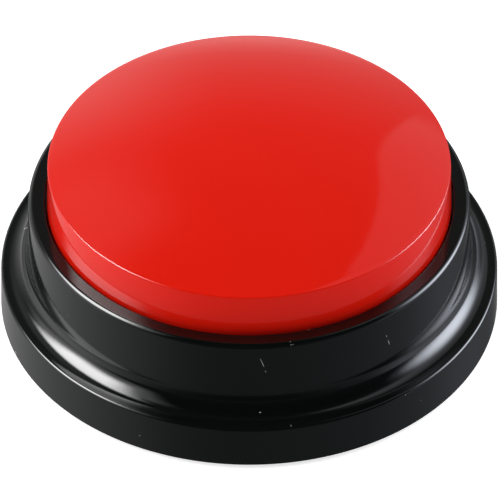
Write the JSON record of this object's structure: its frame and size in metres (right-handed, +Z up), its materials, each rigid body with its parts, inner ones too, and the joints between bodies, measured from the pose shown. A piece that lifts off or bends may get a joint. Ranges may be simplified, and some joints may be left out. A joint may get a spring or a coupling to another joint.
{
  "type": "quiz buzzer",
  "caption": "Hand-size quiz buzzer: a big domed push button in a stepped round housing, with springs, push switch, sounder, cells and an underside battery door.",
  "frame": {"origin": "middle of the footprint, on the surface that the rubber feet stand on", "axes": "+Z up along the button's axis and its press direction reversed, -Y the front, +X to the right seen from the front"},
  "size_m": [0.09, 0.09, 0.0384],
  "materials": {
    "cap_red": "glossy moulded",
    "shell_black": "glossy moulded",
    "cover_black": "fine moulded texture",
    "foot_rubber": "matt",
    "tip_rubber": "matt",
    "screw_steel": "zinc plated",
    "spring_steel": "drawn wire",
    "contact_nickel": "nickel plated",
    "cell_jacket": "printed sleeve, no lettering",
    "board_green": "solder mask over laminate",
    "component_black": "moulded epoxy",
    "resistor_tan": "lacquered, banded",
    "switch_grey": "moulded",
    "speaker_steel": "plated pressing",
    "cone_paper": "matt treated paper",
    "magnet_ferrite": "sintered, matt",
    "gasket_card": "card",
    "terminal_board": "phenolic board with solder",
    "lead_red": "insulation",
    "lead_black": "insulation"
  },
  "bodies": {
    "housing": {"base_housing": "shell_black", "bottom_cover": "cover_black", "battery_near": "cell_jacket", "battery_far": "cell_jacket", "battery_link_contact": "contact_nickel", "battery_plus_contact": "contact_nickel", "battery_minus_contact": "contact_nickel", "speaker_basket": "speaker_steel", "speaker_cone": "cone_paper", "speaker_magnet": "magnet_ferrite", "speaker_gasket": "gasket_card", "speaker_terminals": "terminal_board", "circuit_board": "board_green", "sound_chip": "component_black", "push_switch_case": "switch_grey", "capacitor": "component_black", "resistor": "resistor_tan", "transistor": "component_black", "power_switch_case": "screw_steel", "speaker_lead_red": "lead_red", "speaker_lead_black": "lead_black", "battery_lead_red": "lead_red", "battery_lead_black": "lead_black", "switch_lead_red": "lead_red", "board_screw_1": "screw_steel", "board_screw_2": "screw_steel", "return_spring_1": "spring_steel", "rubber_foot_1": "foot_rubber", "return_spring_2": "spring_steel", "rubber_foot_2": "foot_rubber", "return_spring_3": "spring_steel", "rubber_foot_3": "foot_rubber", "return_spring_4": "spring_steel", "rubber_foot_4": "foot_rubber", "housing_screw_1": "screw_steel", "speaker_screw_1": "screw_steel", "housing_screw_2": "screw_steel", "speaker_screw_2": "screw_steel", "housing_screw_3": "screw_steel", "speaker_screw_3": "screw_steel"},
    "button": {"button_cap": "cap_red", "plunger_tip": "tip_rubber"},
    "switch_stem": {"push_switch_stem": "component_black"},
    "power_knob": {"power_switch_knob": "switch_grey"},
    "door": {"battery_door": "cover_black", "battery_door_screw": "screw_steel"}
  },
  "joints": [
    {"name": "button_press", "type": "slide", "parent": "housing", "child": "button", "axis": [0, 0, 1], "range_m": [-0.0035, 0], "stiffness_N_per_m": 800, "springref_m": 0.003, "deforming": ["return_spring_1", "return_spring_2", "return_spring_3", "return_spring_4"]},
    {"name": "switch_stem_press", "type": "slide", "parent": "housing", "child": "switch_stem", "axis": [0, 0, 1], "range_m": [-0.00025, 0]},
    {"name": "power_switch", "type": "slide", "parent": "housing", "child": "power_knob", "axis": [0, 1, 0], "range_m": [0, 0.002]},
    {"name": "battery_door_tilt", "type": "hinge", "parent": "housing", "child": "door", "pos_m": [0, -0.003, 0.0008], "axis": [1, 0, 0], "range_deg": [-50, 0]}
  ],
  "couplings": [
    {"joint": "switch_stem_press", "follows": "button_press", "ratio": 0.07}
  ]
}
